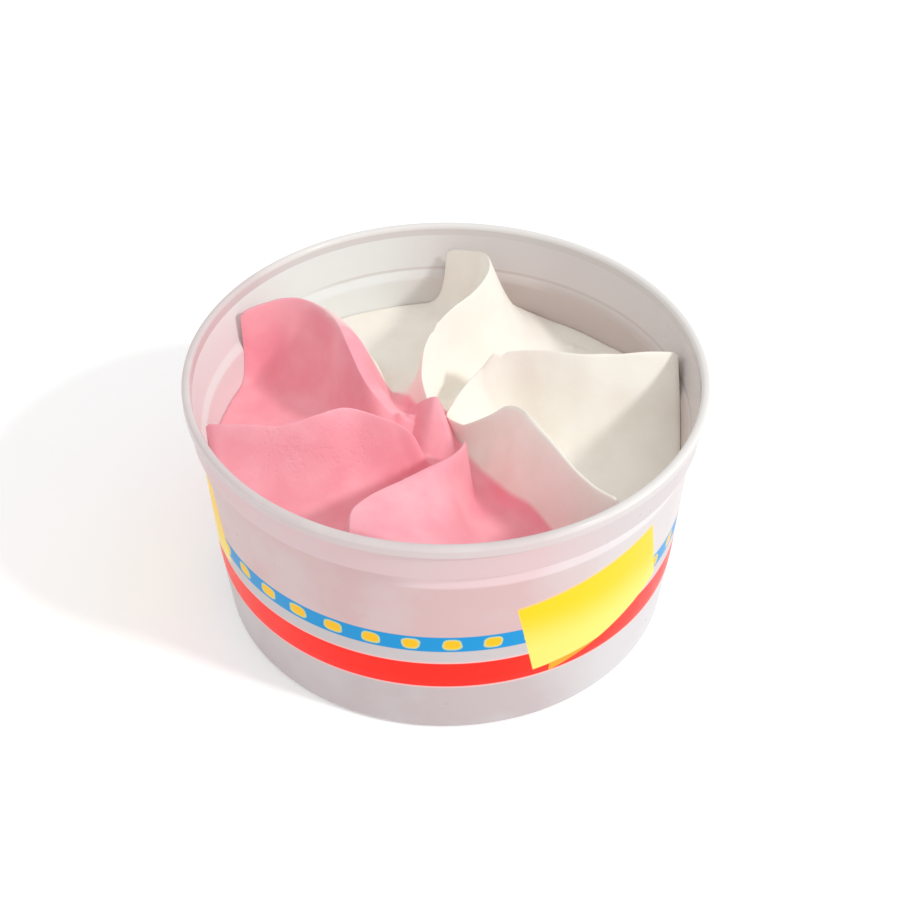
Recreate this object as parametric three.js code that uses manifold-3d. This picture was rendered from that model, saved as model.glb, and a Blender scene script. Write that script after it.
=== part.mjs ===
// A small plastic cup of gelato, two flavours side by side, piped with a six-bladed nozzle.
//
// Frame: millimetres, +Z up. The origin is the centre of the cup's base, on the surface it stands on.
// +X is to the right and -Y to the front. Azimuths are degrees counter-clockwise from +X.
//
// The cup is one turned solid. The gelato is a height field in polar coordinates: six thin crests
// run from a small peak at the centre to the wall, each curling round the centre, with a hollow
// between each two. The field is closed down to the cup's floor and then parted in two flavours.

import * as THREE from 'three';
import { mergeVertices } from 'three/addons/utils/BufferGeometryUtils.js';
import Module from 'manifold-3d';

const wasm = await Module();
wasm.setup();

// ---- Cup ----
const CUP_HEIGHT = 49.6;
const RIM_RADIUS = 47.5;
const LIP_WIDTH = 1.5;
const LIP_HEIGHT = 2.2;
const LIP_ROUND = 0.7;
const COLLAR_TOP_RADIUS = 46.9;
const COLLAR_FOOT_RADIUS = 46.5;
const COLLAR_FOOT_HEIGHT = 41.7;
const STEP_DROP = 0.4;
const BODY_TOP_RADIUS = 45.4;
const BODY_BEND_RADIUS = 43.9;
const BODY_BEND_HEIGHT = 14.1;
const BASE_RADIUS = 42.5;
const BASE_CORNER = 1.2;
const FLOOR_THICKNESS = 1.2;
const FLOOR_CORNER = 1.8;
const THROAT_RADIUS = 44.8;
const THROAT_HEIGHT = 39.9;
const LEDGE_RADIUS = 43.9;
const LEDGE_HEIGHT = 38.2;
const INNER_BEND_RADIUS = 43.0;
const INNER_BASE_RADIUS = 41.4;
const CUP_SEGMENTS = 72;

// ---- Gelato ----
const FIT_GAP = 0.3;
const SURFACE_RADIUS = 43.9;
const CENTRE_HOLLOW_HEIGHT = 34;
const HOLLOW_START = 3;
const HOLLOW_MIDDLE = 20;
const HOLLOW_END = 34;
const LINE_START = 8;
const LINE_END = 33;
const SHARPNESS_START = 12;
const SHARPNESS_END = 42;
const CUT_START = 36;
const CUT_END = 43;

// The blades: the azimuth and the height of each one's crest at these distances from the centre.
const CREST_RADII = [4, 10, 12, 14, 19, 25, 32, 38, 44];
const BLADES = [
  {
    azimuths: [68.5, 58, 53, 47.5, 29, 16.5, 12, 11, 12],
    heights: [36.5, 39.9, 42.5, 44.3, 46.2, 47, 47.2, 47.3, 45.6],
  },
  {
    azimuths: [125, 116.5, 111.5, 106, 89.5, 78.5, 75, 78.5, 89.5],
    heights: [35.8, 39.6, 42, 44.1, 47.4, 48.2, 48.8, 48.8, 45.2],
  },
  {
    azimuths: [194.5, 187, 182, 176.5, 158.5, 144.5, 141, 144, 152.5],
    heights: [35.9, 39.6, 42, 43.9, 47.9, 48.5, 48.9, 48.7, 46.8],
  },
  {
    azimuths: [252, 247, 239.5, 226, 210, 208.5, 204.5, 200, 195.5],
    heights: [34.3, 35.6, 42.3, 45, 47.5, 48.3, 46.7, 46.7, 45.8],
  },
  {
    azimuths: [300, 290, 285.5, 283, 274, 261.5, 250.5, 246.5, 249],
    heights: [34.8, 36.5, 41.2, 42.7, 45, 46.6, 46.9, 47.2, 47.6],
  },
  {
    azimuths: [322, 332, 331.5, 329.5, 319, 314.5, 311, 310, 310.5],
    heights: [37.7, 42.6, 44.8, 46, 48.5, 48.1, 47.4, 47, 47.4],
  },
];

// The hollow after each blade. A pair holds a value near the centre and one at the wall: where the
// lowest line runs (0 at this blade, 1 at the next), its height, how far the shoulders of this blade
// and of the next one's rear reach over it, and how sharply it turns up into each of the two. At the
// wall it may turn up more sharply still, as a cut, into this blade.
const HOLLOWS = [
  { line: [0.55, 0.55], height: [31.5, 32], before: [1.5, 3.2], after: [1.5, 3.2] },
  { line: [0.4, 0.55], height: [32.5, 32.4], before: [1.5, 6], after: [1.4, 7], rear: [2.8, 0.8], cut: 14 },
  { line: [0.55, 0.5], height: [32.5, 31], before: [1.5, 6], after: [1.5, 8], cut: 14 },
  { line: [0.62, 0.66], height: [29.5, 31], before: [1.5, 3], after: [1.5, 3] },
  { line: [0.22, 0.92], height: [32, 31], before: [12, 3], after: [1.5, 3], shoulder: [2, 2.5] },
  { line: [0.55, 0.5], height: [31, 29.5], before: [1.5, 3.5], after: [1.5, 2.6] },
];

// The peak left at the centre: its apex, and the direction and slope of each of its faces.
const PEAK = { x: -1.9, y: 0.6, height: 43.2, faces: [[205, 1.39], [275, 1.03], [10, 3], [100, 1.7]] };
const PEAK_EDGE = 6;
const PEAK_TIP = 1;

// The flavours meet along two lines, each in the hollow before a blade: the hollow's index, and the
// place of the line in it (0 to 1) at distances from the centre.
const BACK_SEAM = {
  hollow: 1,
  radii: [0, 10, 15, 20, 25, 33, 50],
  places: [0.42, 0.42, 0.45, 0.53, 0.66, 0.78, 0.82],
};
const FRONT_SEAM = {
  hollow: 4,
  radii: [0, 7, 13, 18, 24, 28, 33, 50],
  places: [0.2, 0.2, 0.365, 0.565, 0.8, 0.9, 0.955, 0.965],
};
const PEAK_FOOT_RADIUS = 6;
const SEAM_STEPS = 24;
const SEAM_REACH = 50;
const SLOPE_STEP = 0.1;
const SEAM_HEIGHT = 60;
const ARC_STEPS = 12;

const RINGS = 23;
const COLUMNS_PER_HOLLOW = 14;
const COLUMN_CROWDING = 0.55;
const SIDE_ROWS = 4;

const radians = THREE.MathUtils.degToRad;
const lerp = THREE.MathUtils.lerp;
const smooth = (x) => THREE.MathUtils.smoothstep(x, 0, 1);

// ---- Cup ----

// The points of an arc round a centre, as profile points (radius, height).
function arcPoints(centreRadius, centreHeight, size, fromDegrees, toDegrees, steps) {
  const points = [];
  for (let i = 0; i <= steps; i += 1) {
    const angle = radians(lerp(fromDegrees, toDegrees, i / steps));
    points.push(new THREE.Vector2(
      centreRadius + size * Math.cos(angle),
      centreHeight + size * Math.sin(angle),
    ));
  }
  return points;
}

function cupOutside() {
  return [
    new THREE.Vector2(0, 0),
    ...arcPoints(BASE_RADIUS - BASE_CORNER, BASE_CORNER, BASE_CORNER, -90, 0, 3),
    new THREE.Vector2(BODY_BEND_RADIUS, BODY_BEND_HEIGHT),
    new THREE.Vector2(BODY_TOP_RADIUS, COLLAR_FOOT_HEIGHT - STEP_DROP),
    new THREE.Vector2(COLLAR_FOOT_RADIUS, COLLAR_FOOT_HEIGHT),
    new THREE.Vector2(COLLAR_TOP_RADIUS, CUP_HEIGHT - LIP_HEIGHT),
  ];
}

function cupLip() {
  const innerRadius = RIM_RADIUS - LIP_WIDTH;
  return [
    ...arcPoints(RIM_RADIUS - LIP_ROUND, CUP_HEIGHT - LIP_HEIGHT + LIP_ROUND, LIP_ROUND, -60, 0, 2),
    ...arcPoints(RIM_RADIUS - LIP_ROUND, CUP_HEIGHT - LIP_ROUND, LIP_ROUND, 0, 90, 3),
    ...arcPoints(innerRadius + LIP_ROUND, CUP_HEIGHT - LIP_ROUND, LIP_ROUND, 90, 180, 3),
  ];
}

function cupInside() {
  const corner = arcPoints(
    INNER_BASE_RADIUS - FLOOR_CORNER, FLOOR_THICKNESS + FLOOR_CORNER, FLOOR_CORNER, 0, -90, 3,
  );
  return [
    new THREE.Vector2(THROAT_RADIUS, THROAT_HEIGHT),
    new THREE.Vector2(LEDGE_RADIUS, LEDGE_HEIGHT),
    new THREE.Vector2(INNER_BEND_RADIUS, BODY_BEND_HEIGHT),
    ...corner,
    new THREE.Vector2(0, FLOOR_THICKNESS),
  ];
}

// A profile turned about the cup's axis, as +Z up.
function turned(profile) {
  const geometry = new THREE.LatheGeometry(profile, CUP_SEGMENTS);
  geometry.rotateX(Math.PI / 2);
  return geometry;
}

// ---- Gelato surface ----

// A smooth curve through values at places, level beyond its ends.
function through(places, values, at) {
  const last = places.length - 1;
  const slope = (i) => {
    const before = Math.max(i - 1, 0);
    const after = Math.min(i + 1, last);
    return (values[after] - values[before]) / (places[after] - places[before]);
  };
  const place = THREE.MathUtils.clamp(at, places[0], places[last]);
  const end = Math.max(1, places.findIndex((limit) => limit >= place));
  const start = end - 1;
  const width = places[end] - places[start];
  const share = (place - places[start]) / width;
  const bend = (1 - share) * slope(start) - share * slope(end);
  return lerp(values[start], values[end], smooth(share)) + bend * width * share * (1 - share);
}

function crestAzimuth(blade, radius) {
  return through(CREST_RADII, blade.azimuths, radius);
}

function crestHeight(blade, radius) {
  return through(CREST_RADII, blade.heights, radius);
}

function hollowHeight(hollow, radius) {
  const [middle, wall] = hollow.height;
  const inner = smooth((radius - HOLLOW_START) / (HOLLOW_MIDDLE - HOLLOW_START));
  const outer = smooth((radius - HOLLOW_MIDDLE) / (HOLLOW_END - HOLLOW_MIDDLE));
  return lerp(CENTRE_HOLLOW_HEIGHT, middle, inner) + (wall - middle) * outer;
}

// How far down the surface is between two crests: 0 at a crest and 1 along the hollow's line.
function hollowShape(hollow, place, radius) {
  const { before, after, shoulder = [1, 1], rear = [1, 1], cut = 0 } = hollow;
  const outward = smooth((radius - LINE_START) / (LINE_END - LINE_START));
  const line = lerp(...hollow.line, outward);
  const share = smooth((radius - SHARPNESS_START) / (SHARPNESS_END - SHARPNESS_START));
  if (place < line) {
    const atWall = cut * smooth((radius - CUT_START) / (CUT_END - CUT_START));
    const reach = (place / line) ** lerp(...shoulder, share);
    return 1 - (1 - reach) ** (lerp(...before, share) + atWall);
  }
  const reach = ((1 - place) / (1 - line)) ** lerp(...rear, share);
  return 1 - (1 - reach) ** lerp(...after, share);
}

function peakHeight(x, y) {
  const drops = PEAK.faces.map(([direction, slope]) => {
    const angle = radians(direction);
    const along = (x - PEAK.x) * Math.cos(angle) + (y - PEAK.y) * Math.sin(angle);
    return Math.max(0, along * slope) ** PEAK_EDGE;
  });
  const drop = drops.reduce((sum, value) => sum + value, 0) ** (1 / PEAK_EDGE);
  return PEAK.height - Math.hypot(drop, PEAK_TIP);
}

// Azimuth in degrees of a place in a hollow, between the crests on its two sides.
function placeAzimuth(index, place, radius) {
  const next = (index + 1) % BLADES.length;
  const turn = next === 0 ? 360 : 0;
  return lerp(crestAzimuth(BLADES[index], radius), crestAzimuth(BLADES[next], radius) + turn, place);
}

function surfacePoint(index, place, radius) {
  const azimuth = radians(placeAzimuth(index, place, radius));
  const x = radius * Math.cos(azimuth);
  const y = radius * Math.sin(azimuth);
  const next = BLADES[(index + 1) % BLADES.length];
  const crest = lerp(crestHeight(BLADES[index], radius), crestHeight(next, radius), place);
  const depth = crest - hollowHeight(HOLLOWS[index], radius);
  const height = crest - depth * hollowShape(HOLLOWS[index], place, radius);
  return new THREE.Vector3(x, y, Math.max(height, peakHeight(x, y)));
}

// The gelato's side at a height: along the cup's lower wall, and straight on above the ledge.
function sideRadius(height) {
  const foot = FLOOR_THICKNESS + FLOOR_CORNER;
  const lowerShare = (height - foot) / (BODY_BEND_HEIGHT - foot);
  const upperShare = (height - BODY_BEND_HEIGHT) / (LEDGE_HEIGHT - BODY_BEND_HEIGHT);
  const lower = lerp(INNER_BASE_RADIUS, INNER_BEND_RADIUS, lowerShare);
  const upper = lerp(INNER_BEND_RADIUS, LEDGE_RADIUS, upperShare);
  return Math.min(lower, upper) - FIT_GAP;
}

// One column of points, from the surface's edge at the wall to the floor.
function columnPoints(index, place) {
  const points = [];
  const edge = surfacePoint(index, place, SURFACE_RADIUS);
  const reach = sideRadius(edge.z);
  for (let ring = 1; ring <= RINGS; ring += 1) {
    points.push(surfacePoint(index, place, reach * ring / RINGS));
  }
  const azimuth = radians(placeAzimuth(index, place, reach));
  const top = points[points.length - 1].z;
  const foot = FLOOR_THICKNESS + FIT_GAP + FLOOR_CORNER;
  for (let row = 1; row <= SIDE_ROWS; row += 1) {
    const height = lerp(top, foot, row / SIDE_ROWS);
    const radius = sideRadius(height);
    points.push(new THREE.Vector3(radius * Math.cos(azimuth), radius * Math.sin(azimuth), height));
  }
  const floorRadius = sideRadius(foot) - FLOOR_CORNER;
  points.push(new THREE.Vector3(
    floorRadius * Math.cos(azimuth), floorRadius * Math.sin(azimuth), FLOOR_THICKNESS + FIT_GAP,
  ));
  return points;
}

// The place of a column in its hollow. The columns crowd towards the crests, which are sharp.
function columnPlace(step) {
  const share = step / COLUMNS_PER_HOLLOW;
  return share - COLUMN_CROWDING * Math.sin(2 * Math.PI * share) / (2 * Math.PI);
}

// The whole gelato as one closed geometry: the columns side by side, a top and a bottom point.
function gelatoGeometry() {
  const columns = [];
  for (let index = 0; index < BLADES.length; index += 1) {
    for (let step = 0; step < COLUMNS_PER_HOLLOW; step += 1) {
      columns.push(columnPoints(index, columnPlace(step)));
    }
  }
  const rows = columns[0].length;
  const points = columns.flat();
  const topPoint = points.push(new THREE.Vector3(0, 0, peakHeight(0, 0))) - 1;
  const floorPoint = points.push(new THREE.Vector3(0, 0, FLOOR_THICKNESS + FIT_GAP)) - 1;
  const triangles = [];
  columns.forEach((column, i) => {
    const here = i * rows;
    const beside = ((i + 1) % columns.length) * rows;
    triangles.push(topPoint, here, beside);
    for (let row = 0; row + 1 < rows; row += 1) {
      triangles.push(here + row, here + row + 1, beside + row + 1);
      triangles.push(here + row, beside + row + 1, beside + row);
    }
    triangles.push(here + rows - 1, floorPoint, beside + rows - 1);
  });
  const geometry = new THREE.BufferGeometry().setFromPoints(points);
  geometry.setIndex(triangles);
  return geometry;
}

// ---- Parting the flavours ----

// Azimuth of a seam, in radians.
function seamAzimuth(seam, radius) {
  const place = through(seam.radii, seam.places, radius);
  return radians(placeAzimuth(seam.hollow, place, radius));
}

// A seam in plan, from the peak's foot outward, moved square to itself by an offset in millimetres.
function seamLine(seam, footRadius, offset) {
  const points = [];
  for (let step = 0; step <= SEAM_STEPS; step += 1) {
    const radius = lerp(footRadius, SEAM_REACH, step / SEAM_STEPS);
    const along = seamAzimuth(seam, radius);
    const slant = radius * (seamAzimuth(seam, radius + SLOPE_STEP) - along) / SLOPE_STEP;
    const azimuth = along + offset * Math.hypot(1, slant) / radius;
    points.push(new THREE.Vector2(radius * Math.cos(azimuth), radius * Math.sin(azimuth)));
  }
  return points;
}

// Points of an arc in plan about the centre, from one point's direction to another's, clockwise.
function clockwiseArc(radius, fromPoint, toPoint) {
  const fromTurn = fromPoint.angle();
  const turn = THREE.MathUtils.euclideanModulo(fromTurn - toPoint.angle(), 2 * Math.PI);
  const points = [];
  for (let step = 0; step <= ARC_STEPS; step += 1) {
    const angle = fromTurn - turn * step / ARC_STEPS;
    points.push(new THREE.Vector2(radius * Math.cos(angle), radius * Math.sin(angle)));
  }
  return points;
}

// A tall prism over the strawberry side in plan, grown outward by an offset.
function strawberryPrism(offset) {
  const footRadius = PEAK_FOOT_RADIUS + offset;
  const back = seamLine(BACK_SEAM, footRadius, -offset);
  const front = seamLine(FRONT_SEAM, footRadius, offset);
  const outline = [
    ...back.slice(1).reverse(),
    ...clockwiseArc(footRadius, back[0], front[0]),
    ...front.slice(1),
    ...clockwiseArc(2 * SEAM_REACH, front[SEAM_STEPS], back[SEAM_STEPS]),
  ];
  return new THREE.ExtrudeGeometry(new THREE.Shape(outline), { depth: SEAM_HEIGHT, bevelEnabled: false });
}

function solidOf(geometry) {
  const bare = geometry.clone();
  bare.deleteAttribute('normal');
  bare.deleteAttribute('uv');
  const merged = mergeVertices(bare);
  return new wasm.Manifold(new wasm.Mesh({
    numProp: 3,
    vertProperties: new Float32Array(merged.attributes.position.array),
    triVerts: new Uint32Array(merged.index.array),
  }));
}

function geometryOf(solid) {
  const mesh = solid.getMesh();
  const geometry = new THREE.BufferGeometry();
  geometry.setAttribute('position', new THREE.BufferAttribute(new Float32Array(mesh.vertProperties), 3));
  geometry.setIndex(new THREE.BufferAttribute(new Uint32Array(mesh.triVerts), 1));
  geometry.computeVertexNormals();
  return geometry;
}

// ---- Sub-parts ----

function namedMesh(name, geometry, color, roughness) {
  const material = new THREE.MeshStandardMaterial({ color, roughness, metalness: 0 });
  const mesh = new THREE.Mesh(geometry, material);
  mesh.name = name;
  return mesh;
}

function cup() {
  const profile = [...cupOutside(), ...cupLip(), ...cupInside()];
  return namedMesh('cup', turned(profile), 0xece6e4, 0.35);
}

function strawberryGelato() {
  const solid = solidOf(gelatoGeometry()).intersect(solidOf(strawberryPrism(0)));
  return namedMesh('strawberry_gelato', geometryOf(solid), 0xfaa3b2, 0.6);
}

function vanillaGelato() {
  const solid = solidOf(gelatoGeometry()).subtract(solidOf(strawberryPrism(FIT_GAP)));
  return namedMesh('vanilla_gelato', geometryOf(solid), 0xfaf6ec, 0.6);
}

const gelatoCup = new THREE.Group();
gelatoCup.add(cup(), strawberryGelato(), vanillaGelato());

export default gelatoCup;
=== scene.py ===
"""A plastic cup of strawberry and vanilla gelato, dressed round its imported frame.

The frame's own lengths are metres. Here they are named in millimetres, +Z up, with the origin at the
centre of the cup's base, +X to the right and -Y to the front, and scaled when a mesh or lamp is made.
"""

import math

import bpy
import numpy as np
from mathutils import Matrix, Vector, noise


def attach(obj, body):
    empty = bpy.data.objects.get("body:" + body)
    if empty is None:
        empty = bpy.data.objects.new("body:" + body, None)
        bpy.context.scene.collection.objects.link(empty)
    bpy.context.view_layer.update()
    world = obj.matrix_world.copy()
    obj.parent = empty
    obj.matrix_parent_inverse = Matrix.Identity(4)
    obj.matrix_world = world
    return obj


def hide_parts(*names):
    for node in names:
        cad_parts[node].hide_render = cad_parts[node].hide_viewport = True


MM = 0.001
FULL_TURN = 360

# The standard screen curve: its white, its knee, the slope below the knee, and the offset and power
# above it.
SCREEN_WHITE = 255
SCREEN_KNEE = 0.04045
SCREEN_SLOPE = 12.92
SCREEN_OFFSET = 0.055
SCREEN_POWER = 2.4


def linear(value):
    """The linear light of one 8-bit screen value."""
    share = value / SCREEN_WHITE
    if share < SCREEN_KNEE:
        return share / SCREEN_SLOPE
    return ((share + SCREEN_OFFSET) / (1 + SCREEN_OFFSET)) ** SCREEN_POWER


def srgb(red, green, blue):
    """A colour from 8-bit screen values, as linear light."""
    return linear(red), linear(green), linear(blue)


# ---- Cup (mm) ----
CUP_HEIGHT = 49.6
RIM_RADIUS = 47.5
LIP_WIDTH = 1.5
LIP_HEIGHT = 2.2
LIP_ROUND = 0.7
LIP_FOOT = CUP_HEIGHT - LIP_HEIGHT
LIP_CROWN = 48.8
COLLAR_TOP_RADIUS = 46.9
COLLAR_FOOT_RADIUS = 46.5
COLLAR_FOOT_HEIGHT = 41.7
STEP_DROP = 0.4
STEP_ROUND = 0.25
LIP_FLARE = 0.3
LIP_FLARE_ROUND = 0.15
LEDGE_ROUND = 1.5
BEND_ROUND = 12
SUPPORT_LENGTH = 0.2
LONG_PART = 0.8
BODY_TOP_RADIUS = 45.4
BODY_BEND_RADIUS = 43.9
BODY_BEND_HEIGHT = 14.1
BASE_RADIUS = 42.5
BASE_CORNER = 1.2
FLOOR_THICKNESS = 1.2
FLOOR_CORNER = 1.8
THROAT_RADIUS = 44.8
THROAT_HEIGHT = 39.9
LEDGE_RADIUS = 43.9
LEDGE_HEIGHT = 38.2
INNER_BEND_RADIUS = 43.0
INNER_BASE_RADIUS = 41.4
CUP_SEGMENTS = 288
ARC_STEPS = 6

# ---- Gelato (mm and degrees) ----
WALL_GAP = 0.06
SURFACE_RADIUS = 43.9
CENTRE_HOLLOW_HEIGHT = 34
HOLLOW_START = 3
HOLLOW_MIDDLE = 20
HOLLOW_END = 34
LINE_RANGE = (8, 33)
SHARPNESS_RANGE = (12, 42)
EDGE_ROUND_START = 43
EDGE_ROUND_DROP = 0.5
PEAK_BLEND = 0.5

# How round each blade's crest is, and the most that this may be as a share of a hollow's width.
CREST_ROUNDS = (0.3, 0.3, 0.3, 0.3, 0.3, 1.3)
CREST_EASE_LIMIT = 0.08

# Each blade's crest: its azimuth and its height at the crest radii, from the centre to the wall.
CREST_RADII = (4, 10, 12, 14, 19, 25, 32, 38, 44)
BLADES = (
    {"azimuth": (68.5, 58, 53, 47.5, 29, 16.5, 12, 11, 12),
     "height": (38.2, 40.6, 42.5, 44.3, 46.2, 47, 47.2, 47.3, 45.6)},
    {"azimuth": (125, 116.5, 111.5, 106, 89.5, 78.5, 75, 78.5, 89.5),
     "height": (35.8, 39.6, 42, 44.1, 47.4, 48.2, 48.8, 48.8, 45.2)},
    {"azimuth": (194.5, 187, 182, 176.5, 158.5, 144.5, 141, 144, 152.5),
     "height": (35.9, 39.6, 42, 43.9, 47.9, 48.5, 48.9, 48.7, 46.8)},
    {"azimuth": (252, 247, 239.5, 226, 210, 208.5, 204.5, 200, 195.5),
     "height": (34.3, 35.6, 42.3, 45, 47.5, 48.3, 46.7, 46.7, 45.8)},
    {"azimuth": (300, 290, 285.5, 283, 274, 261.5, 250.5, 246.5, 249),
     "height": (34.8, 36.5, 41.2, 42.7, 45.0, 46.6, 46.9, 47.2, 47.6)},
    {"azimuth": (322, 332, 331.5, 329.5, 319, 314.5, 311, 310, 310.5),
     "height": (37.7, 42.6, 44.8, 46, 48.5, 48.1, 47.4, 47, 47.4)},
)

# The hollow after each blade, mostly in pairs of a value near the centre and one at the wall:
#   line      the place of its lowest line on the way from one crest to the next,
#   height    that line's height,
#   before    how sharply it turns up into the blade before it, and after into the one after it,
#   shoulder  how far the blade before it reaches over it, and rear the one after it, 1 if left out.
# At the wall, cut turns it up more sharply still into the blade before it, and overhang undercuts that
# blade by some degrees.
HOLLOWS = (
    {"line": (0.55, 0.55), "height": (31.5, 32), "before": (1.5, 3.2), "after": (1.5, 3.2)},
    {"line": (0.4, 0.55), "height": (32.5, 32.4), "before": (3.2, 6), "after": (1.4, 7),
     "rear": (2.8, 0.8), "cut": 14, "overhang": 0.5},
    {"line": (0.55, 0.5), "height": (32.5, 31), "before": (1.5, 6), "after": (1.5, 8),
     "cut": 8, "overhang": 1},
    {"line": (0.62, 0.66), "height": (29.5, 31), "before": (1.5, 3), "after": (1.5, 3)},
    {"line": (0.22, 0.92), "height": (32, 31), "before": (12, 3), "after": (1.5, 3),
     "shoulder": (2, 2.5)},
    {"line": (0.55, 0.5), "height": (31, 29.5), "before": (1.5, 3.5), "after": (1.5, 2.6)},
)
NO_REACH = (1, 1)
CUT_RANGE = (36, 43)

# The small peak in the middle: its apex, and the direction and slope of each of its faces. Its edges are
# the sharper the larger PEAK_EDGE is, and PEAK_TIP rounds its tip.
PEAK = {"x": -1.9, "y": 0.6, "height": 43.2, "faces": ((205, 1.39), (275, 1.03), (10, 3), (100, 1.7))}
PEAK_EDGE = 6
PEAK_TIP = 1.3
PEAK_FOOT_RADIUS = 6.0

# The flavours meet along two lines, each in one hollow: its place there at some radii.
BACK_SEAM = {"hollow": 1, "radii": (0, 10, 15, 20, 25, 33, 50),
             "places": (0.42, 0.42, 0.45, 0.53, 0.66, 0.78, 0.82)}
FRONT_SEAM = {"hollow": 4, "radii": (0, 7, 13, 18, 24, 28, 33, 50),
              "places": (0.2, 0.2, 0.39, 0.605, 0.805, 0.887, 0.93, 0.94)}
PEAK_MARGIN = 0.5

# At the back the pink runs past the flavours' line near the centre, and turns white before it further
# out. The widths say how many times softer that turn is than the one at the front.
BACK_TURN = {"hollow": 1, "radii": (0, 10, 15, 20, 25, 33, 50),
             "places": (0.17, 0.17, 0.31, 0.72, 0.985, 0.985, 0.95),
             "widths": (1, 1, 1, 1.4, 3.5, 4, 4)}

# Unevenness of the surface: the size of its lumps and how far they rise and fall.
UNEVENNESS = ((7, 0.16), (2.2, 0.06))

# Crumbs, flecks and nicks, each with its place in plan, its reach and its height (mm).
CRUMBS = (
    (-8.5, -1.3, 0.6, 1.1),
    (-6.5, -0.2, 0.55, 1.2),
    (-7.1, -13.9, 0.4, 0.6),
    (-7.9, -13.2, 0.45, -0.5),
    (-8.6, -14.1, 0.35, 0.5),
    (-2.5, 16.2, 0.5, -0.5),
    (-1.7, 17.0, 0.4, 0.4),
    (6.9, 9.3, 0.6, -0.5),
    (8.6, 10.6, 0.8, 0.7),
    (10.6, 10.5, 0.6, -0.6),
    (25.4, 28.5, 0.7, 0.7),
    (27.2, 27.9, 0.5, 0.4),
)

# The mesh: columns in each hollow, crowded at the crests, and rings inside and outside the peak's foot.
COLUMNS = 96
COLUMN_CROWDING = 0.6
CENTRE_RINGS = 16
OUTER_RINGS = 100
SIDE_ROWS = 6

# ---- Print on the cup (mm and degrees round from the front) ----
# It repeats round the cup. A degree's length is that at a radius of 45 mm.
PRINT_PERIOD = 120
PRINT_START = -50
RED_BAND = (12.6, 18.9)
RED_OUTLINE = 0.45
BLUE_BAND = (22.1, 25.9)
DOT_COUNT = 13
DOT_PITCH = PRINT_PERIOD / DOT_COUNT
DOT_PLACE = 1.4
DOT_HEIGHT = 23.95
DOT_SIZE = (1.4, 1.05)
DOT_GROWTH = 0.3
DOT_SQUARENESS = 3.0
DOT_EDGE = (1.2, 0.9)
DOT_WANDER = 1.0
DOT_WANDER_SIZE = 4
DEGREE_LENGTH = 0.785
PRINT_SOFTNESS = 0.12

# Going down between these heights, the patch pales from yellow to cream.
CREAM_RANGE = (30, 18)

# ---- Gelato's looks (mm) ----
STRAWBERRY = (srgb(245, 161, 174), srgb(251, 180, 190))
VANILLA = (srgb(245, 239, 228), srgb(250, 246, 237))

# The distances past the flavours' line where the colour turns, and those of a faint pink tinge beyond
# it, partly the flavours mixed thin and partly painted pink bounce light.
TURN_RANGE = (-1.0, 0.6)
TINGE_RANGE = (-6.0, 1.0)
TINGE_AND_BOUNCE_STRENGTH = 0.03
TURN_WANDER = 0.5
TURN_WANDER_SIZE = 6

# Noises, with the values of each where a mottle or a pore starts and where it is full. A roughness, or a
# depth, is its least and what the noise adds.
MOTTLE_RANGE = (0.3, 0.7)
GELATO_MOTTLE = {"size": 9, "detail": 4}
GELATO_GRAIN = {"size": 0.45, "detail": 5, "roughness": 0.6}
GELATO_ROUGHNESS = (0.45, 0.25)
GELATO_SPECULAR = 0.35
GELATO_BUMP = {"distance": 0.12, "strength": 0.3}
PORES = {"size": 1.1, "detail": 3, "roughness": 0.7}
PORE_RANGE = (0.5, 0.38)

# Points of the surface with pores round them, full and gone at two distances, and their depth in grain.
PORE_PLACES = ((-29, -15, 42.5), (-18, -13.5, 41.5))
PORE_REACH = (1.5, 7.5)
PORE_DEPTH = 2.6

# ---- Cup's looks (mm and degrees round from the front) ----
# The lip is less rough than the rest by LIP_GLOSS.
CUP_MOTTLE = {"size": 14, "detail": 3}
TINT_DEPTH = (0.65, 0.5)
CUP_GRAIN_SIZE = 5
CUP_ROUGHNESS = (0.22, 0.2)
LIP_GLOSS = 0.14
CUP_SPECULAR = 0.18
CUP_BUMP = {"distance": 0.15, "strength": 0.25}

# Below the collar, a painted highlight makes the wall brighter from the front round to the right.
SHOULDER = (38.3, 41.5)
SHOULDER_EDGE = 0.35
SHOULDER_TURN = (-12, -2)
SHOULDER_HIGHLIGHT_COLORS = (srgb(224, 220, 221), srgb(226, 198, 201))

# The plastic's colours from the foot up, each from a height: where vanilla stands behind the wall,
# and where strawberry does.
PLASTIC = (
    (0, srgb(206, 204, 206), srgb(192, 180, 181)),
    (RED_BAND[0] - RED_OUTLINE, srgb(211, 205, 205), srgb(210, 178, 178)),
    (SHOULDER[1], srgb(206, 198, 199), srgb(216, 188, 190)),
    (LIP_FOOT, srgb(213, 208, 207), srgb(211, 196, 196)),
    (LIP_CROWN, srgb(229, 226, 223), srgb(214, 203, 202)),
)
PLASTIC_EDGE = 0.15

# Inside, the plastic is lighter on the left and has painted shade on the right, most of all below the
# ledge, and a painted shaded line along the ledge.
INSIDE_LEFT = srgb(229, 231, 229)
INSIDE_RIGHT_SHADE = srgb(219, 212, 211)
INSIDE_LOW_SHADE = srgb(204, 191, 187)
INSIDE_CREASE_SHADE = srgb(184, 168, 162)
CREASE_TURN = (-32, -18)
INSIDE_TURN = (-16, 10)
LEDGE_CREASE = (39.9, 40.5)
CREASE_SHADE_STRENGTH = 0.35

# The angles where the strawberry behind the wall starts and ends, from none to full.
STRAWBERRY_ARC = ((-145, -120), (44, 16))

# The print's colours. Pale lines the red band, and white fills the gap between the two bands.
PRINT_RED = srgb(255, 30, 8)
PRINT_BLUE = srgb(0, 146, 210)
PRINT_YELLOW = srgb(255, 207, 4)
PRINT_GOLD = srgb(248, 190, 8)
PRINT_CREAM = srgb(248, 226, 112)
PRINT_ORANGE = srgb(252, 158, 14)
PRINT_PALE = srgb(228, 192, 190)
PRINT_WHITE = srgb(198, 192, 193)
DOT_OUTLINE = srgb(196, 205, 150)

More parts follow.
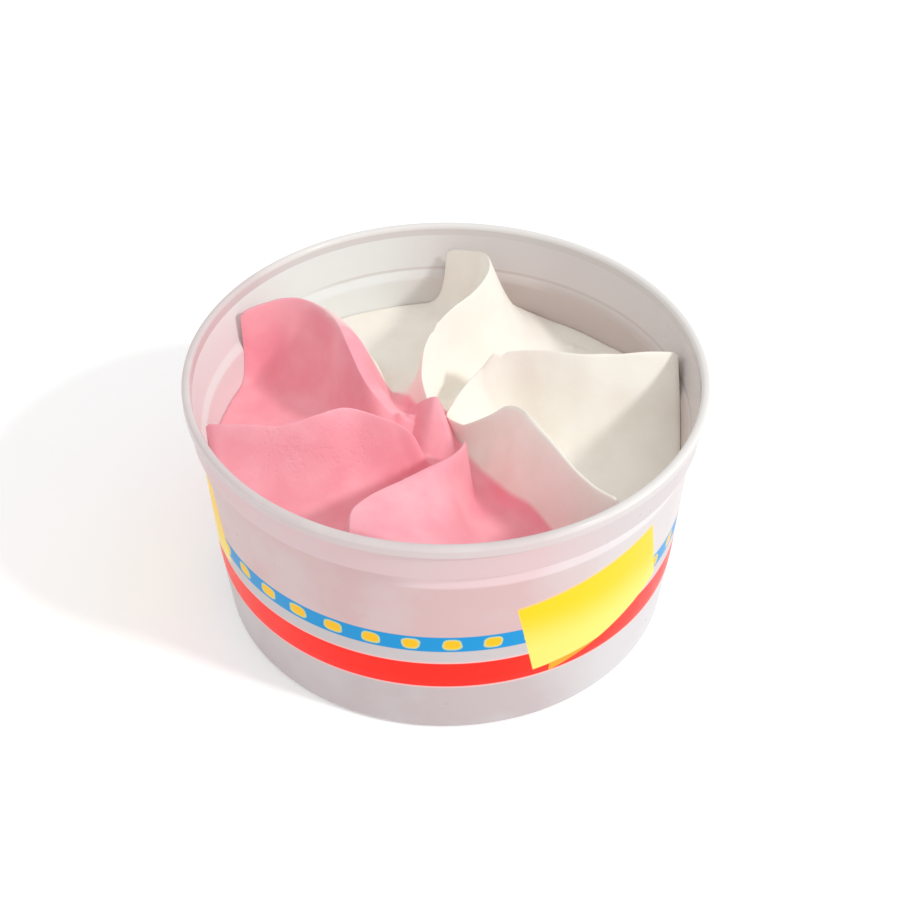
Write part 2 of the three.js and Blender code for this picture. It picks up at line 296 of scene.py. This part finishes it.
# The patch's edges, each as two points (degrees round from the front, height) with the patch on
# their left, and how soft the edge is.
PATCH_EDGES = (
    ((15.6, 31.2), (20.3, 14.2), 0.12),
    ((20.3, 14.2), (38, 15.6), 0.12),
    ((38, 15.6), (58.4, 20.6), 0.12),
    ((58.4, 20), (52.8, 35.6), 0.3),
    ((52.8, 36.2), (15.6, 31.2), 0.5),
)

# A strip of a deeper colour below the patch's foot. It starts at one angle and narrows to the right.
STRIP_EDGES = (
    ((38, 15.6), (20.3, 14.2), 0.12),
    ((24.4, 12.5), (38, 15.6), 0.12),
    ((24.4, 16), (24.4, 12), 0.1),
)

# ---- Camera and light ----
IMAGE_WIDTH = 900
CAMERA_DISTANCE = 320
CAMERA_ELEVATION = 40.7
AIM_HEIGHT = 29.6
FOCAL_PIXELS = 1702
CENTRE_PIXEL = 446
SENSOR_WIDTH = 36
WORLD_STRENGTH = 0.76

# Each sun's azimuth and elevation, its strength, and its width in the sky (degrees).
SUNS = {
    "key": (-27, 39, 1.24, 6),
    "fill": (-50, 50, 0.22, 120),
}

# ---- Floor (mm) ----
FLOOR_REACH = 2000
FLOOR_COLORS = ((0.92, 0.92, 0.92), (0.95, 0.95, 0.95))
FLOOR_MOTTLE_SIZE = 40
FLOOR_ROUGHNESS = 0.9
FLOOR_GLOW = 0.2
WHITE = (1, 1, 1)

# The mix node's colour sockets, by number, because several of its sockets share a name.
MIX_INPUTS = (6, 7)
MIX_OUTPUT = 2


def smooth(value):
    value = np.clip(value, 0, 1)
    return value * value * (3 - 2 * value)


def lerp(low, high, share):
    return low + (high - low) * share


def span(value, limits):
    return (value - limits[0]) / (limits[1] - limits[0])


# ---- Gelato surface ----


def through(places, values, at):
    """A smooth curve through values at places, level beyond its ends."""
    x, y = np.asarray(places, float), np.asarray(values, float)
    slopes = np.gradient(y) / np.gradient(x)
    at = np.clip(at, x[0], x[-1])
    start = np.clip(np.searchsorted(x, at, side="right") - 1, 0, len(x) - 2)
    width = x[start + 1] - x[start]
    t = (at - x[start]) / width
    ends = (2 * t**3 - 3 * t**2 + 1) * y[start] + (3 * t**2 - 2 * t**3) * y[start + 1]
    return ends + ((t**3 - 2 * t**2 + t) * slopes[start] + (t**3 - t**2) * slopes[start + 1]) * width


def crest_azimuth(blade, radius):
    return through(CREST_RADII, blade["azimuth"], radius)


def crest_height(blade, radius):
    return through(CREST_RADII, blade["height"], radius)


def hollow_height(hollow, radius):
    middle, wall = hollow["height"]
    inner = smooth(span(radius, (HOLLOW_START, HOLLOW_MIDDLE)))
    outer = smooth(span(radius, (HOLLOW_MIDDLE, HOLLOW_END)))
    return lerp(CENTRE_HOLLOW_HEIGHT, middle, inner) + (wall - middle) * outer


def hollow_shape(hollow, place, radius):
    """1 on the hollow's lowest line, down to 0 at the two crests."""
    line = lerp(*hollow["line"], smooth(span(radius, LINE_RANGE)))
    share = smooth(span(radius, SHARPNESS_RANGE))
    first = lerp(*hollow["before"], share) + hollow.get("cut", 0) * smooth(span(radius, CUT_RANGE))
    reach = np.clip(place / line, 0, 1) ** lerp(*hollow.get("shoulder", NO_REACH), share)
    before = 1 - (1 - reach) ** first
    reach = np.clip((1 - place) / (1 - line), 0, 1) ** lerp(*hollow.get("rear", NO_REACH), share)
    after = 1 - (1 - reach) ** lerp(*hollow["after"], share)
    return np.where(place < line, before, after)


def place_azimuth(index, place, radius):
    following = (index + 1) % len(BLADES)
    turn = FULL_TURN if following == 0 else 0
    start = crest_azimuth(BLADES[index], radius)
    return lerp(start, crest_azimuth(BLADES[following], radius) + turn, place)


def peak_height(x, y):
    drop = 0
    for direction, slope in PEAK["faces"]:
        angle = math.radians(direction)
        along = (x - PEAK["x"]) * math.cos(angle) + (y - PEAK["y"]) * math.sin(angle)
        drop = drop + np.maximum(along * slope, 0) ** PEAK_EDGE
    return PEAK["height"] - np.hypot(drop ** (1 / PEAK_EDGE), PEAK_TIP)


def soft_max(first, second, width):
    overlap = np.maximum(width - np.abs(first - second), 0) / width
    return np.maximum(first, second) + overlap**2 * width / 4


def rounded_place(index, place, gap):
    """The place in a hollow, eased within a short way of the two crests, which rounds their edges."""
    following = (index + 1) % len(BLADES)
    size = np.where(place < 0.5, CREST_ROUNDS[index], CREST_ROUNDS[following])
    ease = np.minimum(size / np.maximum(gap, 1), CREST_EASE_LIMIT)
    nearest = np.minimum(place, 1 - place)
    eased = np.sqrt(nearest**2 + ease**2) - ease * np.maximum(0, 1 - 2 * nearest)
    return np.where(place < 0.5, eased, 1 - eased)


def surface_points(index, place, radius):
    hollow, following = HOLLOWS[index], BLADES[(index + 1) % len(BLADES)]
    azimuth = place_azimuth(index, place, radius)
    gap = np.radians(place_azimuth(index, 1, radius) - place_azimuth(index, 0, radius)) * radius
    crest = lerp(crest_height(BLADES[index], radius), crest_height(following, radius), place)
    depth = crest - hollow_height(hollow, radius)
    shape = hollow_shape(hollow, rounded_place(index, place, gap), radius)
    undercut = hollow.get("overhang", 0) * smooth(span(radius, CUT_RANGE)) * shape * (1 - place) ** 2
    azimuth = azimuth - undercut
    rounding = np.maximum(0, span(radius, (EDGE_ROUND_START, SURFACE_RADIUS)))
    height = crest - depth * shape - EDGE_ROUND_DROP * rounding**2
    x, y = radius * np.cos(np.radians(azimuth)), radius * np.sin(np.radians(azimuth))
    return np.stack([x, y, soft_max(height, peak_height(x, y), PEAK_BLEND)], axis=-1)


def relief(points):
    """How far the unevenness and the crumbs lift the surface at each point."""
    flat = points.reshape(-1, 3)
    lift = np.zeros(len(flat))
    for size, amount in UNEVENNESS:
        lift += [amount * noise.noise(Vector(point) / size) for point in flat]
    for x, y, reach, amount in CRUMBS:
        lift += amount * np.exp(-(np.hypot(flat[:, 0] - x, flat[:, 1] - y) / reach) ** 2)
    return lift.reshape(points.shape[:-1])


def side_radius(height):
    foot = FLOOR_THICKNESS + FLOOR_CORNER
    lower = lerp(INNER_BASE_RADIUS, INNER_BEND_RADIUS, span(height, (foot, BODY_BEND_HEIGHT)))
    upper = lerp(INNER_BEND_RADIUS, LEDGE_RADIUS, span(height, (BODY_BEND_HEIGHT, LEDGE_HEIGHT)))
    return np.minimum(lower, upper) - WALL_GAP


def seam_place(seam, radius):
    return through(seam["radii"], seam["places"], radius)


def crowded_shares():
    """Shares of a hollow's width for its columns, closer together at the crests."""
    share = np.arange(COLUMNS) / COLUMNS
    return share - COLUMN_CROWDING * np.sin(2 * math.pi * share) / (2 * math.pi)


def seam_column(seam):
    """The number of the column, in the seam's hollow, that follows the seam."""
    return int(np.argmin(np.abs(crowded_shares() - seam["places"][-1])))


def column_places(index, radius):
    """Places in a hollow, a row for each column; in a seam's hollow one column follows the seam."""
    shares = crowded_shares()[:, None]
    for seam in (BACK_SEAM, FRONT_SEAM):
        if seam["hollow"] == index:
            middle = shares[seam_column(seam), 0]
            target = seam_place(seam, radius)[None, :]
            before = target * shares / middle
            after = 1 - (1 - target) * (1 - shares) / (1 - middle)
            return np.where(shares <= middle, before, after)
    return np.broadcast_to(shares, (COLUMNS, len(radius)))


def ring_shares():
    """Radii of the rings up to the peak's foot, and shares of the way from there to the wall."""
    centre = np.linspace(0, PEAK_FOOT_RADIUS, CENTRE_RINGS + 1)[1:]
    outer = np.linspace(0, 1, OUTER_RINGS + 1)[1:]
    return centre, outer


def surface_grid():
    """The whole surface: points (columns, rings, 3) and how far each is inside the strawberry side."""
    centre, outer = ring_shares()
    points, inside = [], []
    for index in range(len(BLADES)):
        probe = np.concatenate([centre, lerp(PEAK_FOOT_RADIUS, SURFACE_RADIUS, outer)])
        places = column_places(index, probe)
        edge = surface_points(index, places[:, -1], np.full(COLUMNS, SURFACE_RADIUS))[:, 2]
        reach = side_radius(edge)[:, None]
        radius = np.concatenate([np.broadcast_to(centre, (COLUMNS, CENTRE_RINGS)),
                                 PEAK_FOOT_RADIUS + (reach - PEAK_FOOT_RADIUS) * outer], axis=1)
        surface = surface_points(index, places, radius)
        above_peak = surface[..., 2] - peak_height(surface[..., 0], surface[..., 1])
        surface[..., 2] += relief(surface)
        points.append(surface)
        inside.append(np.maximum(seam_distance(index, places, radius), PEAK_MARGIN - above_peak))
    return np.concatenate(points), np.concatenate(inside)


def seam_distance(index, place, radius):
    """Millimetres from where the colour turns, above 0 on the strawberry side."""
    surface = surface_points(index, place, radius)
    distances = []
    for seam in (BACK_TURN, FRONT_SEAM):
        middle = surface_points(seam["hollow"], seam_place(seam, radius), radius)
        distances.append(np.linalg.norm(surface - middle, axis=-1))
    distances[0] = distances[0] / through(BACK_TURN["radii"], BACK_TURN["widths"], radius)
    after_back = index + place > BACK_TURN["hollow"] + seam_place(BACK_TURN, radius)
    before_front = index + place < FRONT_SEAM["hollow"] + seam_place(FRONT_SEAM, radius)
    return np.minimum(*distances) * np.where(after_back & before_front, 1, -1)


# ---- Meshes ----


def make_mesh(name, points, faces):
    mesh = bpy.data.meshes.new(name)
    mesh.from_pydata((np.asarray(points) * MM).tolist(), [], faces)
    mesh.polygons.foreach_set("use_smooth", [True] * len(faces))
    piece = bpy.data.objects.new(name, mesh)
    bpy.context.scene.collection.objects.link(piece)
    return piece


def boundary_loop(faces):
    """The edge of a patch of faces, as one loop of point numbers in the faces' own direction."""
    edges = {(face[i - 1], face[i]) for face in faces for i in range(len(face))}
    following = {start: end for start, end in edges if (end, start) not in edges}
    loop = [next(iter(following))]
    while following[loop[-1]] != loop[0]:
        loop.append(following[loop[-1]])
    return loop


def closed_down(points, faces, loop):
    """Walls from a surface's edge down to the cup's floor, and a flat base."""
    points = list(map(tuple, points))
    foot = FLOOR_THICKNESS + FLOOR_CORNER + WALL_GAP
    floor = FLOOR_THICKNESS + WALL_GAP
    above = loop
    for row in range(1, SIDE_ROWS + 2):
        below = []
        for start in loop:
            x, y, top = points[start]
            height = lerp(top, foot, min(row / SIDE_ROWS, 1))
            scale = side_radius(height) / side_radius(top)
            if row > SIDE_ROWS:
                height = floor
                scale = (side_radius(foot) - FLOOR_CORNER) / side_radius(top)
            below.append(len(points))
            points.append((x * scale, y * scale, height))
        for i, point in enumerate(above):
            faces.append((point, above[i - 1], below[i - 1], below[i]))
        above = below
    faces.append(tuple(reversed(above)))
    return points, faces


def surface_faces(column_count, ring_count):
    """Quads of the surface as (column, ring, corners), and triangles round the centre point."""
    centre = column_count * ring_count
    for column in range(column_count):
        here, beside = column * ring_count, (column + 1) % column_count * ring_count
        yield column, 0, (centre, here, beside)
        for ring in range(ring_count - 1):
            yield column, ring + 1, (here + ring, here + ring + 1, beside + ring + 1, beside + ring)


def flavour_mesh(name, grid, inside, wants_strawberry):
    column_count, ring_count = grid.shape[:2]
    back = BACK_SEAM["hollow"] * COLUMNS + seam_column(BACK_SEAM)
    front = FRONT_SEAM["hollow"] * COLUMNS + seam_column(FRONT_SEAM)
    centre_point = (0, 0, float(peak_height(0, 0)))
    points = np.concatenate([grid.reshape(-1, 3), [centre_point]])
    flavour = np.concatenate([inside.reshape(-1), [PEAK_FOOT_RADIUS]])
    faces = []
    for column, ring, corners in surface_faces(column_count, ring_count):
        strawberry = ring < CENTRE_RINGS or back <= column < front
        if strawberry == wants_strawberry:
            faces.append(corners)
    used = sorted({corner for face in faces for corner in face})
    renumbered = {old: new for new, old in enumerate(used)}
    faces = [tuple(renumbered[corner] for corner in face) for face in faces]
    loop = boundary_loop(faces)
    points, faces = closed_down(points[used], faces, loop)
    piece = make_mesh(name, points, faces)
    values = np.full(len(points), PEAK_FOOT_RADIUS if wants_strawberry else -PEAK_FOOT_RADIUS)
    values[: len(used)] = flavour[used]
    attribute = piece.data.attributes.new("inside", "FLOAT", "POINT")
    attribute.data.foreach_set("value", values)
    edge = {frozenset(pair) for pair in zip(loop, loop[1:] + loop[:1])}
    sharp = [frozenset(line.vertices) in edge for line in piece.data.edges]
    piece.data.edges.foreach_set("use_edge_sharp", sharp)
    return piece


# ---- Cup ----


def rounded_corner(before, corner, after, size):
    """Points of an arc of the given radius that rounds a corner between two straight lines."""
    corner = np.asarray(corner, float)
    first, second = np.asarray(before, float) - corner, np.asarray(after, float) - corner
    first, second = first / np.linalg.norm(first), second / np.linalg.norm(second)
    half = math.acos(float(np.clip(first @ second, -1, 1))) / 2
    reach = size / math.tan(half)
    middle = (first + second) / np.linalg.norm(first + second)
    centre = corner + middle * size / math.sin(half)
    start, end = corner + first * reach - centre, corner + second * reach - centre
    turn = math.pi - 2 * half
    steps = np.linspace(0, 1, ARC_STEPS + 1)
    arc = [(start * math.sin((1 - s) * turn) + end * math.sin(s * turn)) / math.sin(turn) for s in steps]
    return [tuple(centre + point) for point in arc]


def supported(points):
    """The outline with a point close to each end of its long straight parts, which keeps them flat."""
    result = [points[0]]
    for start, end in zip(points, points[1:]):
        length = math.dist(start, end)
        if length > LONG_PART:
            for share in (SUPPORT_LENGTH / length, 1 - SUPPORT_LENGTH / length):
                result.append((lerp(start[0], end[0], share), lerp(start[1], end[1], share)))
        result.append(end)
    return result


def cup_profile():
    """The cup's outline from the middle of its underside, over the lip, to the middle of its floor."""
    inner_lip_radius = RIM_RADIUS - LIP_WIDTH
    corners = [
        (0, 0, 0),
        (BASE_RADIUS, 0, BASE_CORNER),
        (BODY_BEND_RADIUS, BODY_BEND_HEIGHT, BEND_ROUND),
        (BODY_TOP_RADIUS, COLLAR_FOOT_HEIGHT - STEP_DROP, STEP_ROUND),
        (COLLAR_FOOT_RADIUS, COLLAR_FOOT_HEIGHT, STEP_ROUND),
        (COLLAR_TOP_RADIUS, LIP_FOOT - LIP_FLARE, LIP_FLARE_ROUND),
        (RIM_RADIUS, LIP_FOOT, LIP_FLARE_ROUND),
        (RIM_RADIUS, CUP_HEIGHT, LIP_ROUND),
        (inner_lip_radius, CUP_HEIGHT, LIP_ROUND),
        (THROAT_RADIUS, THROAT_HEIGHT, LEDGE_ROUND),
        (LEDGE_RADIUS, LEDGE_HEIGHT, LEDGE_ROUND),
        (INNER_BEND_RADIUS, BODY_BEND_HEIGHT, BEND_ROUND),
        (INNER_BASE_RADIUS, FLOOR_THICKNESS, FLOOR_CORNER),
        (0, FLOOR_THICKNESS, 0),
    ]
    points = [corners[0][:2]]
    for before, corner, after in zip(corners, corners[1:], corners[2:]):
        points += rounded_corner(before[:2], corner[:2], after[:2], corner[2])
    return supported([*points, corners[-1][:2]])


def turned(name, profile):
    """A closed solid turned about the cup's axis from a profile that starts and ends on it."""
    inner = profile[1:-1]
    count = len(inner)
    points, faces = [], []
    for segment in range(CUP_SEGMENTS):
        angle = 2 * math.pi * segment / CUP_SEGMENTS
        points += [(r * math.cos(angle), r * math.sin(angle), z) for r, z in inner]
    for segment in range(CUP_SEGMENTS):
        here, beside = segment * count, (segment + 1) % CUP_SEGMENTS * count
        faces += [(here + i, beside + i, beside + i + 1, here + i + 1) for i in range(count - 1)]
    faces.append(tuple(reversed([s * count for s in range(CUP_SEGMENTS)])))
    faces.append(tuple(s * count + count - 1 for s in range(CUP_SEGMENTS)))
    piece = make_mesh(name, points, faces)
    crown = max(range(count), key=lambda i: inner[i][1])
    attribute = piece.data.attributes.new("outside", "FLOAT", "POINT")
    attribute.data.foreach_set("value", [float(i <= crown) for i in range(count)] * CUP_SEGMENTS)
    return piece


# ---- Materials ----


class Nodes:
    """Short calls for the shader nodes of one new material."""

    def __init__(self, name):
        self.material = bpy.data.materials.new(name)
        self.material.use_nodes = True
        self.tree = self.material.node_tree
        self.shader = self.tree.nodes["Principled BSDF"]

    def put(self, socket, value):
        if isinstance(value, bpy.types.NodeSocket):
            self.tree.links.new(value, socket)
        elif socket.type == "RGBA":
            socket.default_value = (*value, 1)
        else:
            socket.default_value = value

    def math(self, operation, *values):
        node = self.tree.nodes.new("ShaderNodeMath")
        node.operation = operation
        for socket, value in zip(node.inputs, values):
            self.put(socket, value)
        return node.outputs[0]

    def step(self, value, low, high):
        """0 below low, 1 above high, eased between."""
        node = self.tree.nodes.new("ShaderNodeMapRange")
        node.interpolation_type = "SMOOTHSTEP"
        for socket, entry in zip(node.inputs, (value, low, high, 0.0, 1.0)):
            self.put(socket, entry)
        return node.outputs[0]

    def scaled(self, value, least, amount):
        """The least, and that amount more where the value is 1."""
        return self.math("MULTIPLY_ADD", value, amount, least)

    def wander(self, size, amount):
        """Noise about 0, from minus to plus half the amount."""
        return self.scaled(self.noise(size), -amount / 2, amount)

    def band(self, value, low, high, softness):
        """1 between low and high, down to 0 beyond them."""
        rise = self.step(value, low - softness, low + softness)
        fall = self.step(value, high + softness, high - softness)
        return self.math("MULTIPLY", rise, fall)

    def mix(self, factor, first, second):
        node = self.tree.nodes.new("ShaderNodeMix")
        node.data_type = "RGBA"
        self.put(node.inputs["Factor"], factor)
        for number, color in zip(MIX_INPUTS, (first, second)):
            self.put(node.inputs[number], color)
        return node.outputs[MIX_OUTPUT]

    def coordinates(self):
        return self.tree.nodes.new("ShaderNodeTexCoord").outputs["Object"]

    def noise(self, size, detail=2.0, roughness=0.5):
        """Noise from 0 to 1 whose lumps are about size millimetres."""
        node = self.tree.nodes.new("ShaderNodeTexNoise")
        self.put(node.inputs["Vector"], self.coordinates())
        self.put(node.inputs["Scale"], 1 / (size * MM))
        self.put(node.inputs["Detail"], detail)
        self.put(node.inputs["Roughness"], roughness)
        return node.outputs[0]

    def attribute(self, name):
        node = self.tree.nodes.new("ShaderNodeAttribute")
        node.attribute_name = name
        return node.outputs["Fac"]

    def bump(self, height, distance, strength):
        node = self.tree.nodes.new("ShaderNodeBump")
        self.put(node.inputs["Height"], height)
        self.put(node.inputs["Distance"], distance * MM)
        self.put(node.inputs["Strength"], strength)
        self.put(self.shader.inputs["Normal"], node.outputs[0])

    def set(self, **values):
        """Sets or links the shader's sockets, named with _ for each space."""
        for name, value in values.items():
            self.put(self.shader.inputs[name.replace("_", " ")], value)


def near_point(nodes, point, reach):
    """1 near a point (mm), easing to 0 between the two distances of reach."""
    node = nodes.tree.nodes.new("ShaderNodeVectorMath")
    node.operation = "DISTANCE"
    nodes.put(node.inputs[0], nodes.coordinates())
    nodes.put(node.inputs[1], tuple(value * MM for value in point))
    return nodes.step(node.outputs["Value"], reach[1] * MM, reach[0] * MM)


def gelato_material(name):
    """Fine-grained gelato whose flavour follows the mesh's attribute, with open pores in some places."""
    nodes = Nodes(name)
    side = nodes.math("ADD", nodes.attribute("inside"), nodes.wander(TURN_WANDER_SIZE, TURN_WANDER))
    near = nodes.step(side, *TURN_RANGE)
    # A faint pink beyond the line: partly the flavours mixed thin, partly painted pink bounce light.
    far = nodes.math("MULTIPLY", nodes.step(side, *TINGE_RANGE), TINGE_AND_BOUNCE_STRENGTH)
    mottle = nodes.step(nodes.noise(**GELATO_MOTTLE), *MOTTLE_RANGE)
    vanilla, strawberry = nodes.mix(mottle, *VANILLA), nodes.mix(mottle, *STRAWBERRY)
    grain = nodes.noise(**GELATO_GRAIN)
    near_pores = nodes.math("MAXIMUM", *(near_point(nodes, place, PORE_REACH) for place in PORE_PLACES))
    pores = nodes.math("MULTIPLY", nodes.step(nodes.noise(**PORES), *PORE_RANGE), near_pores)
    nodes.set(Base_Color=nodes.mix(nodes.math("MAXIMUM", near, far), vanilla, strawberry),
              Roughness=nodes.scaled(grain, *GELATO_ROUGHNESS), Specular_IOR_Level=GELATO_SPECULAR)
    nodes.bump(nodes.scaled(pores, grain, -PORE_DEPTH), **GELATO_BUMP)
    return nodes.material


class Print:
    """The places on the cup that its print needs, in mm and in degrees round from the front."""

    def __init__(self, nodes):
        self.nodes = nodes
        separate = nodes.tree.nodes.new("ShaderNodeSeparateXYZ")
        nodes.put(separate.inputs[0], nodes.coordinates())
        x, y, z = separate.outputs
        self.height = nodes.math("DIVIDE", z, MM)
        self.front = nodes.math("DEGREES", nodes.math("ARCTAN2", x, nodes.math("MULTIPLY", y, -1)))
        turn = nodes.math("SUBTRACT", self.front, PRINT_START)
        self.around = nodes.math("ADD", nodes.math("FLOORED_MODULO", turn, PRINT_PERIOD), PRINT_START)
        self.rightward = nodes.math("DIVIDE", x, MM)
        self.lip = nodes.step(self.height, LIP_FOOT, LIP_FOOT + PLASTIC_EDGE)
        self.outside = nodes.math("MAXIMUM", nodes.attribute("outside"), self.lip)

    def band(self, low, high):
        return self.nodes.band(self.height, low, high, PRINT_SOFTNESS)

    def dots(self, growth):
        """The row of rounded dots, each grown by some mm."""
        nodes = self.nodes
        turn = nodes.math("SUBTRACT", self.around, DOT_PLACE - DOT_PITCH / 2)
        turn = nodes.math("SUBTRACT", nodes.math("FLOORED_MODULO", turn, DOT_PITCH), DOT_PITCH / 2)
        wide, high = DOT_SIZE[0] + growth, DOT_SIZE[1] + growth
        wander = nodes.wander(DOT_WANDER_SIZE, DOT_WANDER)
        across = nodes.scaled(nodes.math("ABSOLUTE", turn), wander, DEGREE_LENGTH / wide)
        across = nodes.math("POWER", nodes.math("MAXIMUM", across, 0), DOT_SQUARENESS)
        upward = nodes.math("DIVIDE", nodes.math("SUBTRACT", self.height, DOT_HEIGHT), high)
        upward = nodes.math("POWER", nodes.math("ABSOLUTE", upward), DOT_SQUARENESS)
        return nodes.step(nodes.math("ADD", across, upward), *DOT_EDGE)

    def left_of(self, start, end, softness):
        """1 on the left of the line from start to end, as seen from outside, 0 on its right."""
        nodes = self.nodes
        run, rise = (end[0] - start[0]) * DEGREE_LENGTH, end[1] - start[1]
        length = math.hypot(run, rise)
        upward = nodes.math("SUBTRACT", self.height, start[1])
        upward = nodes.math("MULTIPLY", upward, run / length)
        across = nodes.math("SUBTRACT", self.around, start[0])
        across = nodes.math("MULTIPLY", across, rise * DEGREE_LENGTH / length)
        return nodes.step(nodes.math("SUBTRACT", upward, across), -softness, softness)

    def field(self, edges):
        """1 within the edges of a field of colour."""
        mask = 1.0
        for start, end, softness in edges:
            mask = self.nodes.math("MULTIPLY", mask, self.left_of(start, end, softness))
        return mask


def plastic_color(nodes, places):
    """The bare cup, tinted unevenly by the strawberry behind its wall, with a painted highlight below
    the collar.
    """
    from_back, to_front = (nodes.step(places.front, *limits) for limits in STRAWBERRY_ARC)
    mottle = nodes.scaled(nodes.step(nodes.noise(**CUP_MOTTLE), *MOTTLE_RANGE), *TINT_DEPTH)
    tint = nodes.math("MULTIPLY", nodes.math("MULTIPLY", from_back, to_front), mottle)
    color = nodes.mix(tint, *PLASTIC[0][1:])
    for height, clear, tinted in PLASTIC[1:]:
        above = nodes.step(places.height, height - PLASTIC_EDGE, height + PLASTIC_EDGE)
        color = nodes.mix(above, color, nodes.mix(tint, clear, tinted))
    # A painted highlight on the wall below the collar, from the front round to the right.
    shoulder = nodes.band(places.height, *SHOULDER, SHOULDER_EDGE)
    shoulder_highlight = nodes.math("MULTIPLY", shoulder, nodes.step(places.rightward, *SHOULDER_TURN))
    return nodes.mix(shoulder_highlight, color, nodes.mix(tint, *SHOULDER_HIGHLIGHT_COLORS))


def inside_color(nodes, places):
    """The inside of the cup, with painted shade on its right and below its ledge, and a painted shaded
    line along the ledge.
    """
    right = nodes.step(places.rightward, *INSIDE_TURN)
    below = nodes.step(places.height, LEDGE_CREASE[1], LEDGE_HEIGHT)
    # A painted shaded line along the ledge, fading out on the left.
    crease_shade = nodes.math("MULTIPLY", nodes.band(places.height, *LEDGE_CREASE, PLASTIC_EDGE), CREASE_SHADE_STRENGTH)
    # Painted shade: darker on the right, and darker still below the ledge.
    color = nodes.mix(right, INSIDE_LEFT, nodes.mix(below, INSIDE_RIGHT_SHADE, INSIDE_LOW_SHADE))
    crease_shade = nodes.math("MULTIPLY", crease_shade, nodes.step(places.rightward, *CREASE_TURN))
    return nodes.mix(crease_shade, color, INSIDE_CREASE_SHADE)


def print_color(nodes, places, bare):
    """The bands, dots and patch on the bare plastic."""
    color = nodes.mix(places.band(RED_BAND[1], BLUE_BAND[0]), bare, PRINT_WHITE)
    color = nodes.mix(places.band(*BLUE_BAND), color, PRINT_BLUE)
    color = nodes.mix(places.dots(DOT_GROWTH), color, DOT_OUTLINE)
    color = nodes.mix(places.dots(0), color, PRINT_GOLD)
    outline = places.band(RED_BAND[0] - RED_OUTLINE, RED_BAND[1] + RED_OUTLINE)
    color = nodes.mix(outline, color, PRINT_PALE)
    color = nodes.mix(places.band(*RED_BAND), color, PRINT_RED)
    low = nodes.step(places.height, *CREAM_RANGE)
    color = nodes.mix(places.field(PATCH_EDGES), color, nodes.mix(low, PRINT_YELLOW, PRINT_CREAM))
    return nodes.mix(places.field(STRIP_EDGES), color, PRINT_ORANGE)


def cup_material():
    """Satin white plastic, printed on the outside below the collar, with painted shade inside and a
    painted highlight below the collar.
    """
    nodes = Nodes("cup_plastic")
    places = Print(nodes)
    bare = plastic_color(nodes, places)
    color = nodes.mix(places.outside, inside_color(nodes, places), print_color(nodes, places, bare))
    grain = nodes.noise(CUP_GRAIN_SIZE)
    roughness = nodes.scaled(places.lip, nodes.scaled(grain, *CUP_ROUGHNESS), -LIP_GLOSS)
    nodes.set(Base_Color=color, Roughness=roughness, Specular_IOR_Level=CUP_SPECULAR)
    nodes.bump(grain, **CUP_BUMP)
    return nodes.material


def floor_material():
    nodes = Nodes("pale_floor")
    mottle = nodes.noise(FLOOR_MOTTLE_SIZE)
    nodes.set(Base_Color=nodes.mix(mottle, *FLOOR_COLORS), Roughness=FLOOR_ROUGHNESS)
    nodes.set(Emission_Color=WHITE, Emission_Strength=FLOOR_GLOW)
    return nodes.material


# ---- Stage ----


def make_camera():
    camera = bpy.data.cameras.new("camera")
    holder = bpy.data.objects.new("camera", camera)
    bpy.context.scene.collection.objects.link(holder)
    elevation = math.radians(CAMERA_ELEVATION)
    holder.location = (0, -CAMERA_DISTANCE * math.cos(elevation) * MM,
                       (AIM_HEIGHT + CAMERA_DISTANCE * math.sin(elevation)) * MM)
    holder.rotation_euler = (math.pi / 2 - elevation, 0, 0)
    camera.sensor_width = SENSOR_WIDTH
    camera.lens = FOCAL_PIXELS / IMAGE_WIDTH * SENSOR_WIDTH
    camera.shift_x = (IMAGE_WIDTH / 2 - CENTRE_PIXEL) / IMAGE_WIDTH
    bpy.context.scene.camera = holder


def make_floor():
    far = FLOOR_REACH
    corners = [(-far, -far, 0), (far, -far, 0), (far, far, 0), (-far, far, 0)]
    floor = make_mesh("floor", corners, [(0, 1, 2, 3)])
    floor.data.materials.append(floor_material())


def make_sun(name, azimuth, elevation, strength, width):
    azimuth, elevation = math.radians(azimuth), math.radians(elevation)
    direction = Vector((math.cos(elevation) * math.cos(azimuth), math.cos(elevation) * math.sin(azimuth),
                        math.sin(elevation)))
    sun = bpy.data.lights.new(name, "SUN")
    sun.energy = strength
    sun.angle = math.radians(width)
    holder = bpy.data.objects.new(name, sun)
    holder.rotation_euler = direction.to_track_quat("Z", "Y").to_euler()
    bpy.context.scene.collection.objects.link(holder)


def make_lights():
    for name, settings in SUNS.items():
        make_sun(name, *settings)
    world = bpy.data.worlds.new("studio")
    world.use_nodes = True
    background = world.node_tree.nodes["Background"]
    background.inputs["Color"].default_value = (*WHITE, 1)
    background.inputs["Strength"].default_value = WORLD_STRENGTH
    bpy.context.scene.world = world
    bpy.context.scene.view_settings.view_transform = "Standard"


# ---- The scene ----

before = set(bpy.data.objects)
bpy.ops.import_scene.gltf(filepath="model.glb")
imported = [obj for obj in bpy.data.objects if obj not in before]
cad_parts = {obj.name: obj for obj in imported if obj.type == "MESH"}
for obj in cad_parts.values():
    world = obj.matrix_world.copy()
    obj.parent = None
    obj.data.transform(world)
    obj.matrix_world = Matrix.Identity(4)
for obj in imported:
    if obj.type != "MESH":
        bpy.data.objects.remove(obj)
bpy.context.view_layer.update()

make_camera()
make_floor()
make_lights()

grid, inside = surface_grid()
for node, wants_strawberry in (("strawberry_gelato", True), ("vanilla_gelato", False)):
    piece = flavour_mesh(node.replace("gelato", "swirl"), grid, inside, wants_strawberry)
    piece.data.materials.append(gelato_material(node.replace("gelato", "cream")))
    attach(piece, "root")
    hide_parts(node)

shell = turned("cup_shell", cup_profile())
shell.data.materials.append(cup_material())
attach(shell, "root")
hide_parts("cup")
